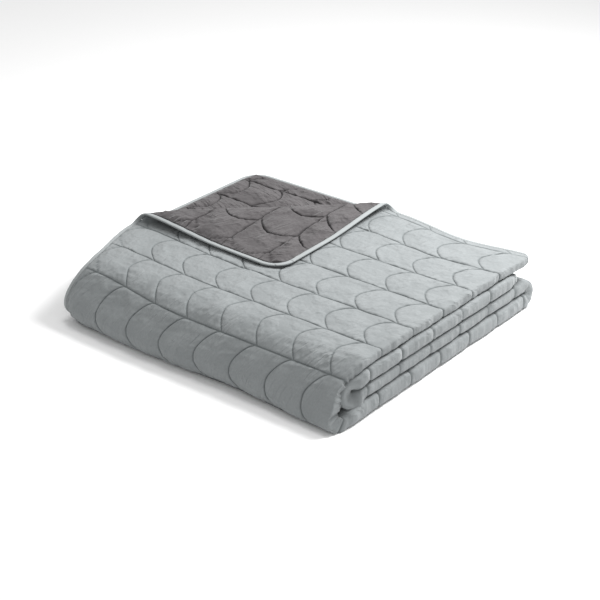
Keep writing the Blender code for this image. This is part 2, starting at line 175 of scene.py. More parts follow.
def walk_route():
    """Follow the middle of the double strip: rows of v, y, z, heading, strip height, setback.

    The marks say where along the cloth each round fold begins and ends.
    """
    tall = [strip[1] for strip in STRIPS]
    back = [strip[2] for strip in STRIPS]
    middle = {}
    level = -LAYER_GAP / 2
    for index in (1, 2, 3, 0):
        middle[index] = level + tall[index] / 2
        level += tall[index]
    high_radius = middle[0] - middle[1] - OUTER_LOW_RADIUS
    back_radius = (middle[2] - middle[1]) / 2
    inner_radius = (middle[3] - middle[2]) / 2
    front = (tall[0] + tall[1]) / 4 + high_radius - STACK_DEPTH / 2
    turn = STACK_DEPTH / 2 - BACK_FOLD_INSET - 2 * back_radius
    # where the straight part ends, the arcs after it as radius and angle, and what they take up
    legs = (
        (front, ((high_radius, math.pi / 2), (OUTER_LOW_RADIUS, math.pi / 2)), MEAN_BEND),
        (turn, ((back_radius, math.pi),), 0.0),
        (front + INNER_FOLD_INSET, ((inner_radius, -math.pi),), 0.0),
    )
    v, y, z, heading = 0.0, STACK_DEPTH / 2, middle[0], math.pi
    rows = []
    marks = {}
    for index, (end, arcs, lift) in enumerate(legs):
        steps = int(abs(end - y) / ROUTE_STEP)
        for step in range(steps):
            share = step / steps
            rows.append((v + abs(end - y) * share, y + (end - y) * share, z, heading,
                         tall[index], back[index]))
        v += abs(end - y)
        y = end
        marks[FOLDS[index][0]] = v
        turned = 0.0
        for radius, angle in arcs:
            side = math.copysign(1.0, angle)
            centre_y = y - radius * side * math.sin(heading)
            centre_z = z + radius * side * math.cos(heading)
            steps = max(int(radius * abs(angle) / ROUTE_STEP), FEWEST_ARC_STEPS)
            for _ in range(steps):
                share = turned / math.pi
                blend = share * share * (3 - 2 * share)
                setback = back[index] * (1 - blend) + back[index + 1] * blend
                setback += FOLD_SETBACK[index] * math.sin(math.pi * share)
                rows.append((v, y, z, heading,
                             tall[index] * (1 - blend) + tall[index + 1] * blend, setback))
                heading += angle / steps
                turned += abs(angle) / steps
                v += (radius + lift) * abs(angle) / steps
                y = centre_y + radius * side * math.sin(heading)
                z = centre_z - radius * side * math.cos(heading)
        marks[FOLDS[index][1]] = v
    rows.append((v, y, z, heading, tall[3], back[3]))
    rest = FLAT_LENGTH - v
    rows.append((FLAT_LENGTH, y + rest * math.cos(heading), z, heading, tall[3], back[3]))
    return np.array(rows).T, marks


ROUTE, MARKS = walk_route()


def smooth(x):
    """An even ramp from 0 to 1 that starts and ends gently."""
    x = np.clip(x, 0.0, 1.0)
    return x * x * (3 - 2 * x)


def wave(x, y, seed):
    """Smooth noise, about -0.5 to 0.5, at arrays of places."""
    return np.array([noise.noise(Vector((a, b, seed))) for a, b in zip(x, y)])


FRONT_DROOP = 0.245                # share of its height that the stack loses at the front
FRONT_DROOP_REACH = 0.098          # how far in from the front the droop starts
LEFT_PULL = 0.080                  # share of its width that the front edge is pulled in
LEFT_PULL_REACH = (-0.290, -0.060)
BACK_DIP = 0.026                   # dip of the free end on top, and where it is
BACK_DIP_X = 0.215
BACK_DIP_WIDTH = 0.110
BACK_DIP_REACH = 0.290
SIDE_SQUARENESS = 0.55             # below 1 the folded side is squarer than round
FRONT_SQUARENESS = 0.32            # the same where the side meets the front
FRONT_EASE = 0.03                  # cloth over which the one becomes the other
TOE = (0.011, 0.006)               # spread of the foot of the outer fold, forward and down
TOE_START = 0.065                  # cloth before the end of the outer fold, and past it
TOE_END = 0.010
TOE_EASE = 0.030
TOE_REACH = (0.10, 0.34)
TIP_RADIUS = 0.026                 # the back end of the long fold on top is rounded off
TIP_WIDTH = 0.12
TIP_REACH = 0.006                  # and reaches out a little beyond the side
TIP_REACH_LENGTH = 0.10
RAGGED_FRONT = 0.0045              # depth of the creases where the outer fold meets the side
RAGGED_SIDE = 0.0010               # the same along the rest of the side
RAGGED_PITCH = 0.011
RAGGED_ROUND = 0.6                 # below 1 they run further round the side
RAGGED_SEED = 3.3
NOISE_PEAK = 2.2                   # brings the noise up to about 1


def half_layer(v):
    """Half the thickness of one layer of the spread."""
    return (np.interp(v, ROUTE[0], ROUTE[4]) / 2 - LAYER_GAP) / 2


def fold(u, v, w):
    """Where points of the flat pattern lie in the folded stack."""
    u, v, w = (np.asarray(x, float) for x in np.broadcast_arrays(u, v, w))
    y, z, heading, height, setback = (np.interp(v, ROUTE[0], row) for row in ROUTE[1:])
    half = (height / 2 - LAYER_GAP) / 2
    bend = height / 4
    radius = bend + w * half
    angle = np.clip(u / SIDE_REACH, -1, 1) * math.pi / 2
    in_outer = smooth((v - MARKS["top"]) / FRONT_EASE) * smooth((MARKS["outer"] - v) / FRONT_EASE)
    crease = (RAGGED_SIDE + (RAGGED_FRONT - RAGGED_SIDE) * in_outer) * ragged(v)
    past_side = np.maximum(np.abs(u) - SIDE_REACH, 0.0)
    pull_start, pull_end = LEFT_PULL_REACH
    pull = 1 - LEFT_PULL * smooth((pull_end - y) / (pull_end - pull_start))
    x = STACK_WIDTH / 2 - setback - bend - half - past_side * pull
    square = SIDE_SQUARENESS + (FRONT_SQUARENESS - SIDE_SQUARENESS) * in_outer
    x = x + radius * np.cos(angle) ** square + crease * np.cos(angle) ** RAGGED_ROUND
    rounded = TIP_RADIUS * (1 - np.sqrt(1 - np.clip(1 - v / TIP_RADIUS, 0, 1) ** 2))
    rounded = rounded - TIP_REACH * smooth(1 - v / TIP_REACH_LENGTH)
    x = x - rounded * smooth(1 - past_side / TIP_WIDTH)
    rise = -radius * np.sign(angle) * np.abs(np.sin(angle)) ** square
    foot = (smooth((v - MARKS["outer"] + TOE_START) / TOE_EASE)
            * smooth((MARKS["outer"] + TOE_END - v) / TOE_EASE))
    foot = foot * smooth((x - TOE_REACH[0]) / (TOE_REACH[1] - TOE_REACH[0]))
    y = y - TOE[0] * foot
    z = z - TOE[1] * foot
    droop_start = FRONT_DROOP_REACH - STACK_DEPTH / 2
    droop = 1 - FRONT_DROOP * smooth((droop_start - y) / FRONT_DROOP_REACH)
    dip = BACK_DIP * smooth(1 - v / BACK_DIP_REACH)
    dip = dip * np.exp(-((x - BACK_DIP_X) / BACK_DIP_WIDTH) ** 2)
    points = np.stack([x, y - dip + rise * np.sin(heading),
                       np.maximum(z - rise * np.cos(heading), 0.0) * droop], axis=-1)
    turned = (u < 0) & (v < MARKS["top"])
    points[turned] = turn_back(points[turned], u[turned], v[turned], w[turned])
    points[..., :2] += STACK_SHIFT
    return points


def ragged(v):
    """Small creases along the long fold, from -1 to 0."""
    table_v = np.arange(0.0, FLAT_LENGTH + 0.002, 0.001)
    table = -np.abs(wave(table_v / RAGGED_PITCH, table_v * 0.0, RAGGED_SEED)) * NOISE_PEAK
    return np.interp(np.ravel(v), table_v, table).reshape(np.shape(v))


FLAP_LEG = 0.410                   # from the corner to the turning line, along each edge
FLAP_RADIUS = 0.0115
FLAP_STRETCH = 1.07                # cloth gives on the bias
FLAP_SAG_LENGTH = 0.14             # over which the turned corner comes down to rest
FLAP_COVER = 0.390                 # side of the square that the turned corner hides
FLAP_STEPS = 24
FLAP_SAG_STEPS = 20


def past_turn(u, v):
    """Distance past the turning line of the corner, towards the free corner."""
    return (FLAP_LEG - (HALF_WIDTH - np.abs(u)) - v) / math.sqrt(2)


def flap_profile():
    """Across the turned corner: distance past its line, run, rise, and which way it faces."""
    rows = []
    for angle in np.linspace(0, math.pi, FLAP_STEPS + 1):
        rows.append((FLAP_RADIUS * angle, FLAP_RADIUS * math.sin(angle),
                     FLAP_RADIUS * (1 - math.cos(angle)), -math.sin(angle), math.cos(angle)))
    resting = 2 * half_layer(0.0) + LAYER_GAP
    for share in np.linspace(0, 1, FLAP_SAG_STEPS + 1)[1:]:
        rise = 2 * FLAP_RADIUS + (resting - 2 * FLAP_RADIUS) * smooth(share)
        rows.append((math.pi * FLAP_RADIUS + FLAP_SAG_LENGTH * share,
                     -FLAP_SAG_LENGTH * share * FLAP_STRETCH, rise, 0.0, -1.0))
    rows.append((math.pi * FLAP_RADIUS + 1.0, -FLAP_STRETCH, resting, 0.0, -1.0))
    return np.array(rows).T


FLAP_PROFILE = flap_profile()


def turn_back(points, u, v, w):
    """Roll points of the top layer over the turning line."""
    past = past_turn(u, v)
    run, rise, lean, face = (np.interp(past, FLAP_PROFILE[0], row) for row in FLAP_PROFILE[1:])
    half = half_layer(0.0)
    height = ROUTE[2][0] + ROUTE[4][0] / 4 + rise + face * w * half
    diagonal = (run + lean * w * half - past) / math.sqrt(2)
    rolled = np.stack([points[:, 0] - diagonal, points[:, 1] + diagonal, height], axis=-1)
    return np.where((past > 0)[:, None], rolled, points)


# Quilting, in metres: straight seams across the width, and bowed ones between each two.
ROW = 0.0988                       # from one straight seam to the next
CELL = 0.0935                      # from one bowed seam to the next
FIRST_CELL = 0.0371                # from the long fold to the first bowed seam
FACE_SEAMS = (0.0235, 0.019)       # first straight seam, and its slip on the open side
REVERSE_SEAMS = (0.0605, 0.0)
SLIP_START = 0.42                  # cloth from the long fold to where the slip begins
SLIP_FADE = (0.15, 0.09)           # over which it comes and goes along the length
SLIP_END = 0.715
BULGE = 0.37                       # how far a bowed seam stands out, in cells
BOW_LEAN = 0.45                    # how much fuller the bow is towards its back seam
SLOPE_STEP = 0.004                 # share of a row, for the slant of a bowed seam
SEAM_LEVEL = 0.24                  # height of a seam, as a share of the full thickness
GROOVE_WIDTH = 0.0014              # of the narrow groove beside the stitches
GROOVE_SHARE = 0.62                # of the rise that is in the groove
PUFF_WIDTH = 0.016                 # of the broad hollow about it
SEAM_SHADE_WIDTH = 0.0017
RIM_U = HALF_WIDTH - BINDING_WIDTH - PIECE_GAP
RIM_V = BINDING_WIDTH + PIECE_GAP
RIM_RADIUS = CORNER_RADIUS - RIM_V
EDGE_LEVEL = 0.45                  # the cloth is pressed thin at its bound edge
EDGE_REACH = 0.020
MIDDLE = 0.035                     # half the gap between the cloths, in half thicknesses


def seam_bow(across):
    """How far a bowed seam stands out at a share of its row, in cells."""
    across = np.clip(across, 0.0, 1.0)
    return -BULGE * np.maximum(np.sin(math.pi * across), 0.0) ** (1 - BOW_LEAN * across)


def slipped(u, v, seams):
    """How far the straight seams lie nearer to the free end, on the open side."""
    along = smooth((v - RIM_V) / SLIP_FADE[0]) * smooth((SLIP_END - v) / SLIP_FADE[1])
    return seams[1] * along * smooth((-u - SLIP_START) / (RIM_U - SLIP_START))


def across_row(u, v, seams):
    """Share of the way from a straight seam to the next one back."""
    return (seams[0] - v - slipped(u, v, seams)) / ROW % 1.0


def seam_distances(u, v, seams):
    """Distance to the nearest straight seam and to the nearest bowed one, in metres."""
    across = across_row(u, v, seams)
    place = (u + FIRST_CELL) / CELL - seam_bow(across)
    along = place % 1.0
    rise = seam_bow(across + SLOPE_STEP) - seam_bow(across - SLOPE_STEP)
    slope = rise / (2 * SLOPE_STEP) * CELL / ROW
    bowed = np.where((u < 0) & (place > 0), along, np.minimum(along, 1 - along)) * CELL
    return np.minimum(across, 1 - across) * ROW, bowed / np.sqrt(1 + slope ** 2)


def rise_beside(distance, puff_width):
    """Rise of the padding beside a seam: a narrow groove in a broad hollow."""
    return (1 - GROOVE_SHARE * np.exp(-distance / GROOVE_WIDTH)
            - (1 - GROOVE_SHARE) * np.exp(-distance / puff_width))


# Creases, in metres: how far apart they are, how long, how high, and how far they reach.
BOWED_PUCKER = (0.013, 0.055, 0.0013, 0.020)
STRAIGHT_PUCKER = (0.012, 0.050, 0.0009, 0.012)
DRAG = (0.013, 0.055, 0.0013, 0.030)
SWELL = (0.045, 0.06, 0.0016)
PUCKER_START = 0.0025              # clear of the stitches
DRAG_START = 0.004
DRAG_SLANT = (0.89, 0.45)
PUCKER_SHARPNESS = 3.2
DRAG_SHARPNESS = 3.4
UNEVEN_PITCH = 0.08                # over which the creases come and go


def fading(distance, start, reach):
    """Strength of a crease at a distance from its seam."""
    return np.exp(-distance / reach) * (1 - np.exp(-distance / start))


def crests(across, along, seed, sharpness):
    """Sharp crests, 1 at the top, with soft valleys between them."""
    return 1 - sharpness * np.abs(wave(across, along, seed))


def creases(u, v, seams, seed):
    """Sharp small puckers that run off the seams, slanting drags, and soft uneven swells."""
    straight, bowed = seam_distances(u, v, seams)
    pitch, length, bowed_height, bowed_reach = BOWED_PUCKER
    skewed = v / pitch + 0.15 * u / pitch
    off_bowed = crests(skewed, bowed / length, seed, PUCKER_SHARPNESS)
    pitch, length, straight_height, straight_reach = STRAIGHT_PUCKER
    off_straight = crests(u / pitch, straight / length, seed + 5.1, PUCKER_SHARPNESS)
    uneven = wave(u / UNEVEN_PITCH, v / UNEVEN_PITCH, seed + 9.7)
    strength = 0.55 + 1.1 * np.clip(uneven + 0.35, 0, 1)
    near_bowed = fading(bowed, PUCKER_START, bowed_reach)
    near_straight = fading(straight, PUCKER_START, straight_reach)
    small = bowed_height * off_bowed * near_bowed + straight_height * off_straight * near_straight
    broad = SWELL[2] * wave(u / SWELL[0], v / SWELL[1], seed + 2.3)
    pitch, length, drag_height, drag_reach = DRAG
    cosine, sine = DRAG_SLANT
    slant = crests((cosine * u + sine * v) / pitch, (sine * u - cosine * v) / length,
                   seed + 7.9, DRAG_SHARPNESS)
    in_front = (np.exp(-across_row(u, v, seams) * ROW / drag_reach)
                * (1 - np.exp(-straight / DRAG_START)))
    return strength * (small + drag_height * slant * in_front) + broad


def rim_press(u, v, level):
    """Press the cloth thin towards its bound edge."""
    inside = np.minimum(np.minimum(RIM_U - np.abs(u), v - RIM_V), FLAT_LENGTH - RIM_V - v)
    share = smooth(inside / EDGE_REACH)
    return EDGE_LEVEL + (level - EDGE_LEVEL) * share


FRONT_FULLNESS = 1.0               # how far the outer fold stands off, in half thicknesses
FRONT_BULGE = 1.2                  # how much further it does so in one place
FRONT_BULGE_U = -0.50
FRONT_BULGE_WIDTH = 0.17
FRONT_FULL = (0.35, 0.35, 0.15)    # where it begins round the fold, its rise and its end
INSIDE_LEVEL = 0.65                # the cloth is thinner on the inside of a tight fold
NEST = 2.2                         # the inner fold swells into the hollow of the outer one
NEST_REACH = 0.018
NEST_PLACE = 0.3                   # share of the way round the inner fold
SIDE_SEAM_LEVEL = 0.50             # the seams are shallower round the long fold
SIDE_CREASING = 0.6
SIDE_BAND = 0.022                  # cloth beyond the long fold that counts as its side
SIDE_EASE = 0.012
COVER_EASE = 0.020
MOST_LEVEL = 1.25
FACE_SEED = 1.7
FRONT_HIDDEN = 0.02                # the quilting stops just short of the floor
BACK_BAND_V = MARKS["back"] - 0.024  # cloth of the back fold that shows from behind
BACK_BAND_WIDTH = 0.030
ROUNDING = 0.001


def inside_fold(v, start, end):
    """Which rows are in one of the round folds."""
    return (v > MARKS[start] - ROUNDING) & (v < MARKS[end] + ROUNDING)


def face_level(u, v):
    """Height of the light face: quilted where it shows, plain inside the stack."""
    straight, bowed = seam_distances(u, v, FACE_SEAMS)
    creased = creases(u, v, FACE_SEAMS, FACE_SEED) / half_layer(v)
    along, beside = rise_beside(straight, PUFF_WIDTH), rise_beside(bowed, PUFF_WIDTH)
    quilted = SEAM_LEVEL + (1 - SEAM_LEVEL) * along * beside + creased
    side_level = SIDE_SEAM_LEVEL + (1 - SIDE_SEAM_LEVEL) * along + creased * SIDE_CREASING
    shows = (u < 0) & (v < MARKS["outer"] - FRONT_HIDDEN) & (past_turn(u, v) < 0)
    shows |= (u < 0) & (np.abs(v - BACK_BAND_V) < BACK_BAND_WIDTH)
    covered = np.minimum(FLAP_COVER - v, FLAP_COVER - HALF_WIDTH - u)
    level = np.where(shows, 1.0 + (quilted - 1.0) * smooth(1 - covered / COVER_EASE), 1.0)
    side = smooth((SIDE_REACH + SIDE_BAND - np.abs(u)) / SIDE_EASE)
    level = np.where(shows & (u < -SIDE_REACH), level, level + (side_level - level) * side)
    tight = (u > 0) & inside_fold(v, "bottom", "back") | (u < 0) & inside_fold(v, "third", "inner")
    level = np.minimum(np.where(tight, np.minimum(level, INSIDE_LEVEL), level), MOST_LEVEL)
    round_fold = (v - MARKS["top"]) / (MARKS["outer"] - MARKS["top"])
    begin, rising, ending = FRONT_FULL
    full = smooth((round_fold - begin) / rising) * smooth((1.0 - round_fold) / ending)
    bulge = FRONT_FULLNESS + FRONT_BULGE * np.exp(-((u - FRONT_BULGE_U) / FRONT_BULGE_WIDTH) ** 2)
    level = level + bulge * full * smooth(0.5 - u / SIDE_REACH / 2)
    nest_v = MARKS["third"] * (1 - NEST_PLACE) + MARKS["inner"] * NEST_PLACE
    nested = NEST * np.exp(-((v - nest_v) / NEST_REACH) ** 2) * smooth(u / SIDE_REACH * 1.2)
    return rim_press(u, v, level + nested)


FIRST_STEP = 1 / 6                 # beside a seam, as a share of the widest step
STEP_GROWTH = 1.42


def cell_offsets(pitch, widest):
    """Places inside one cell, close together beside its seams and at most widest apart."""
    places = [0.0]
    step = widest * FIRST_STEP
    while places[-1] + step < pitch / 2 - widest * 0.4:
        places.append(places[-1] + step)
        step = min(step * STEP_GROWTH, widest)
    places.append(pitch / 2)
    return places[:-1] + [pitch - place for place in reversed(places[1:])]


ALWAYS, SHOWN, HIDDEN = range(3)   # which rows hold a column
FAN_SPACING = (0.0032, 0.0030)     # of the columns that fan out at the two ends


def pattern_columns(low, high, widest):
    """Columns that run with the bowed seams: place, share of the bow that each follows, kind."""
    bow = BULGE * CELL
    columns = []
    for index in range(int(low / CELL) - 3, int(high / CELL) + 3):
        for offset in cell_offsets(CELL, widest):
            u = index * CELL + offset - FIRST_CELL
            if low + bow + 0.004 < u < high - 0.003:
                columns.append((u, 1.0, SHOWN))
    first, last = min(columns)[0], max(columns)[0]
    for share in np.linspace(0, 1, int((first - low) / FAN_SPACING[0]) + 1)[:-1]:
        columns.append((low + (first - low) * share, share, SHOWN))
    for share in np.linspace(0, 1, int((high - last + bow) / FAN_SPACING[1]) + 1)[1:]:
        columns.append((last + (high - last) * share, 1 - share, SHOWN))
    return columns


def pattern_rows(low, high, widest, seams):
    """Rows between two places along the length, close together beside the straight seams."""
    rows = []
    for index in range(int(low / ROW) - 2, int(high / ROW) + 2):
        rows += [seams[0] + index * ROW + offset for offset in cell_offsets(ROW, widest)]
    return [row for row in rows if low < row < high]


def thinned(rows):
    """Sorted rows without those that are nearly the same."""
    kept = [rows[0]]
    for row in rows[1:]:
        if row - kept[-1] > LEAST_SPACING:
            kept.append(row)
    return kept


CORNER_STEPS = 9                   # facets round a corner of the flat spread
CORNER_ARC = [RIM_RADIUS * (1 - math.cos(math.pi / 2 * step / CORNER_STEPS))
              for step in range(CORNER_STEPS + 1)]
ROWS_PER_FOLD = 25
DROOP_SPACING = 0.012
LEAST_SPACING = 0.0006


def cut_rows(stretches, seams):
    """Rows of the flat cloth; each stretch of it is a start, an end and the widest spacing."""
    rows = []
    for low, high, widest in stretches:
        rows += pattern_rows(low, high, widest, seams)
    for start, end in FOLDS:
        rows += list(np.linspace(MARKS[start], MARKS[end], ROWS_PER_FOLD))
    even = np.arange(0, FLAT_LENGTH, DROOP_SPACING)
    drooping = np.interp(even, ROUTE[0], ROUTE[1]) < FRONT_DROOP_REACH - STACK_DEPTH / 2
    rows += list(even[drooping])
    rows += [RIM_V + inset for inset in CORNER_ARC]
    rows += [FLAT_LENGTH - RIM_V - inset for inset in CORNER_ARC]
    rows = thinned(sorted(row for row in rows if RIM_V <= row <= FLAT_LENGTH - RIM_V))
    rows[-1] = FLAT_LENGTH - RIM_V
    return np.array(rows)


def corner_width(inset):
    """Width left of a rounded corner, in radii, at a distance in from the edge."""
    return np.sqrt(np.clip(1 - (1 - np.clip(inset / RIM_RADIUS, 0, 1)) ** 2, 0, 1))


SLIP_ROUNDS = 6                    # the slip depends on where the cloth has slipped to


def place_flat(columns, rows, seams):
    """Flat u and v of every grid point, drawn in at the rounded corners."""
    base, follow, _ = np.array(columns).T
    bow = seam_bow((seams[0] - rows[:, None]) / ROW % 1.0)
    u = base[None, :] + follow[None, :] * bow * CELL
    v = rows[:, None]
    for _ in range(SLIP_ROUNDS):
        v = rows[:, None] - slipped(u, v, seams)
    straight = RIM_U - RIM_RADIUS
    inset = np.minimum(v - RIM_V, FLAT_LENGTH - RIM_V - v)
    drawn = np.sign(u) * (straight + (np.abs(u) - straight) * corner_width(inset))
    return np.where((np.abs(u) > straight) & (inset < RIM_RADIUS), drawn, u).ravel(), v.ravel()


def zip_rows(low, low_u, high, high_u):
    """Triangles between two rows of points that run the same way, with u as their order."""
    faces = []
    i = j = 0
    while i < len(low) - 1 or j < len(high) - 1:
        if j == len(high) - 1 or i < len(low) - 1 and low_u[i + 1] <= high_u[j + 1]:
            faces.append((low[i], low[i + 1], high[j]))
            i += 1
        else:
            faces.append((low[i], high[j + 1], high[j]))
            j += 1
    return faces


def lay_rows(base, sets, first_number):
    """Point numbers and triangles of one surface, from the columns that each row holds."""
    numbers = []
    for chosen in sets:
        numbers.append(list(range(first_number, first_number + len(chosen))))
        first_number += len(chosen)
    faces = []
    for row in range(len(sets) - 1):
        faces += zip_rows(numbers[row], base[sets[row]], numbers[row + 1], base[sets[row + 1]])
    return numbers, faces


def add_pattern(mesh, flat, seams):
    """Keep each point's place in the flat pattern, and how near it is to a seam, as the strength
    of the painted seam shade.
    """
    corner_vertex = np.zeros(len(mesh.loops), int)
    mesh.loops.foreach_get("vertex_index", corner_vertex)
    pattern = mesh.uv_layers.new(name="flat_pattern")
    pattern.data.foreach_set("uv", flat[corner_vertex].ravel())
    nearest = np.minimum(*seam_distances(flat[:, 0], flat[:, 1], seams))
    painted_seam_shade = mesh.attributes.new("painted_seam_shade", "FLOAT", "POINT")
    painted_seam_shade.data.foreach_set("value", np.exp(-(nearest / SEAM_SHADE_WIDTH) ** 2))


MERGE_DISTANCE = 0.00001


def finish_mesh(name, points, faces, flat, seams):
    """A smooth closed object with its faces outward and its flat pattern."""
    mesh = bpy.data.meshes.new(name)
    mesh.from_pydata(points, [], faces)
    add_pattern(mesh, flat, seams)
    piece = add_object(name, mesh)
    bpy.ops.object.select_all(action="DESELECT")
    bpy.context.view_layer.objects.active = piece
    piece.select_set(True)
    bpy.ops.object.mode_set(mode="EDIT")
    bpy.ops.mesh.select_all(action="SELECT")
    bpy.ops.mesh.remove_doubles(threshold=MERGE_DISTANCE)
    bpy.ops.mesh.normals_make_consistent(inside=False)
    bpy.ops.object.mode_set(mode="OBJECT")
    bpy.ops.object.shade_smooth()
    return piece


def sew_sheet(name, columns, rows, seams, outer_shows, inner_shows, level, middle, outward):
    """A quilted cloth: a raised and a plain surface, joined round the edge and laid in folds."""
    u, v = place_flat(columns, rows, seams)
    base, _, kind = np.array(columns).T
    width = len(columns)
    flat, heights, numbers, faces = [], [], [], []
    for shows, every in ((outer_shows, 1), (inner_shows, INNER_EVERY)):
        thin = (kind == SHOWN) & (np.arange(width) % every == 0)
        sets = [np.flatnonzero((kind == ALWAYS) | np.where(shows(base, row), thin, kind == HIDDEN))
                for row in rows]
        places = np.concatenate([row * width + chosen for row, chosen in enumerate(sets)])
        surface_numbers, surface_faces = lay_rows(base, sets, sum(len(part) for part in flat))
        flat.append(np.stack([u[places], v[places]], axis=-1))
        heights.append(outward * level(u[places], v[places]) if shows is outer_shows
                       else np.full(len(places), middle))
        numbers.append((surface_numbers, [base[chosen] for chosen in sets]))
        faces += surface_faces
    (outer, outer_u), (inner, inner_u) = numbers
    for row in range(len(rows) - 1):
        for edge in (0, -1):
            faces.append((outer[row][edge], outer[row + 1][edge], inner[row + 1][edge]))
            faces.append((outer[row][edge], inner[row + 1][edge], inner[row][edge]))
    for end in (0, -1):
        faces += zip_rows(outer[end], outer_u[end], inner[end], inner_u[end])
    flat = np.concatenate(flat)
    points = fold(flat[:, 0], flat[:, 1], np.concatenate(heights))
    return finish_mesh(name, points, faces, flat, seams)


def both_sides(places, kind):
    """Straight columns at the same distance on either side of the long fold."""
    return [(side * u, 0.0, kind) for side in (-1, 1) for u in places]


SIDE_COLUMNS = [(u, 0.0, ALWAYS) for u in np.linspace(-SIDE_REACH, SIDE_REACH, 13)]
EDGE_COLUMNS = both_sides([RIM_U - inset for inset in (0.0, 0.004, 0.009, 0.015, 0.021)], ALWAYS)
PLAIN_COLUMNS = both_sides((0.10, 0.20, 0.30, 0.40, 0.50, 0.60), HIDDEN)
PLAIN_COLUMNS += both_sides([SIDE_REACH + beyond for beyond in (0.004, 0.010, 0.018)], ALWAYS)
EDGE_BAND = 0.024                  # along the bound edge, which has columns of its own
SHOWN_SPACING = 0.0050
HIDDEN_SPACING = 0.0130
INNER_EVERY = 3                    # the plain surface keeps every third shown column
FLAP_ROWS = FLAP_LEG + 0.03
face_columns = pattern_columns(-RIM_U + EDGE_BAND, -SIDE_REACH - SIDE_BAND, SHOWN_SPACING)
face_columns = sorted(face_columns + PLAIN_COLUMNS + SIDE_COLUMNS + EDGE_COLUMNS)
face_rows = cut_rows([(0.0, MARKS["outer"], SHOWN_SPACING),
                      (MARKS["outer"], FLAT_LENGTH, HIDDEN_SPACING)], FACE_SEAMS)


def face_outer_shows(u, v):
    """Where the light face is seen from outside."""
    return (u < 0) & ((v < MARKS["outer"]) | (abs(v - BACK_BAND_V) < BACK_BAND_WIDTH + 0.004))


def turned_inside(u, v):
    """Where the plain surface has to follow the turned corner."""
    return (u < FLAP_ROWS - HALF_WIDTH) & (v < FLAP_ROWS)


light_face = sew_sheet("light_face", face_columns, face_rows, FACE_SEAMS, face_outer_shows,
                       turned_inside, face_level, MIDDLE, 1.0)


WRINKLE_SIZE = (0.010, 0.045, 1.0)  # across, along, through
THREAD_PITCH = 0.0006              # really 0.2 mm, too fine to show, so drawn coarser
WAVE_PERIOD = 0.314                # of the wave texture at scale 1
NAP_SIZE = 0.004
PATCH_SIZE = 0.06


def microfibre(name, light, dark, seam, wrinkle, angle):
    """Brushed microfibre: a soft matt cloth with a short nap, with painted shade along its seams.
    """
    cloth = new_material(name)
    flat = {"Vector": add_node(cloth, "ShaderNodeUVMap", {"uv_map": "flat_pattern"}).outputs["UV"]}
    warp, weft = (add_node(cloth, "ShaderNodeTexWave",
                           {"bands_direction": direction, "Scale": WAVE_PERIOD / THREAD_PITCH,
                            "Distortion": 0.6, "Detail": 1.0}, flat) for direction in "XY")
    weave = add_node(cloth, "ShaderNodeMath", {"operation": "MULTIPLY"},
                     {0: warp.outputs["Fac"], 1: weft.outputs["Fac"]})
    nap = add_node(cloth, "ShaderNodeTexNoise",
                   {"Scale": 1 / NAP_SIZE, "Detail": 4.0, "Roughness": 0.6}, flat)
    patches = add_node(cloth, "ShaderNodeTexNoise",
                       {"Scale": 1 / PATCH_SIZE, "Detail": 3.0, "Roughness": 0.5}, flat)
    tone = add_node(cloth, "ShaderNodeMix", {"data_type": "FLOAT", 0: 0.45},
                    {2: patches.outputs["Fac"], 3: nap.outputs["Fac"]})
    ramp = add_node(cloth, "ShaderNodeMapRange", {"From Min": 0.36, "From Max": 0.64},
                    {"Value": tone.outputs[0]})
    colour = add_node(cloth, "ShaderNodeMix",
                      {"data_type": "RGBA", 6: linear(dark), 7: linear(light)},
                      {0: ramp.outputs[0]})
    # Painted shade: the cloth takes the seam colour along the seams, where the grooves lie in
    # shade.
    painted_seam_shade = add_node(cloth, "ShaderNodeAttribute", {"attribute_name": "painted_seam_shade"})
    colour = add_node(cloth, "ShaderNodeMix", {"data_type": "RGBA", 7: linear(seam)},
                      {0: painted_seam_shade.outputs["Fac"], 6: colour.outputs[2]})
    threads = add_node(cloth, "ShaderNodeBump", {"Strength": 0.12, "Distance": 0.0002},
                       {"Height": weave.outputs[0]})
    fuzz = add_node(cloth, "ShaderNodeBump", {"Strength": 0.25, "Distance": 0.0006},
                    {"Height": nap.outputs["Fac"], "Normal": threads.outputs["Normal"]})
    # Fine wrinkles about 10 mm apart, which run askew to the seams and come and go.
    askew = add_node(cloth, "ShaderNodeMapping",
                     {"vector_type": "TEXTURE", "Rotation": (0.0, 0.0, math.radians(angle)),
                      "Scale": WRINKLE_SIZE}, flat)
    folds = add_node(cloth, "ShaderNodeTexNoise",
                     {"Scale": 1.0, "Detail": 3.0, "Roughness": 0.45, "Distortion": 0.6},
                     {"Vector": askew.outputs["Vector"]})
    come_and_go = add_node(cloth, "ShaderNodeMapRange", {"From Min": 0.38, "From Max": 0.62},
                           {"Value": patches.outputs["Fac"]})
    wrinkles = add_node(cloth, "ShaderNodeMath", {"operation": "MULTIPLY"},
                        {0: folds.outputs["Fac"], 1: come_and_go.outputs[0]})
    wrinkled = add_node(cloth, "ShaderNodeBump", {"Strength": 1.0, "Distance": wrinkle},
                        {"Height": wrinkles.outputs[0], "Normal": fuzz.outputs["Normal"]})
    shader = add_node(cloth, "ShaderNodeBsdfPrincipled",
                      {"Roughness": 0.82, "Specular IOR Level": 0.25,
                       "Sheen Weight": 0.18, "Sheen Roughness": 0.45},
                      {"Base Color": colour.outputs[2], "Normal": wrinkled.outputs["Normal"]})
    add_node(cloth, "ShaderNodeOutputMaterial", links={"Surface": shader.outputs["BSDF"]})
    return cloth


# The third colour is painted shade along the seams.
light_face.data.materials.append(microfibre("pale_grey_brushed_microfibre",
                                            "#8D9192", "#828687", "#6A6F70", 0.0060, 18))
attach(light_face, "root")
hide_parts("face_panel")


# ------------------ the dark reverse
# The back cloth with the other half of the wadding, the same microfibre in dark grey.  It lies
# inside the folds, and shows only where the corner is turned back: on the turned corner and on
# the layer that this bares.

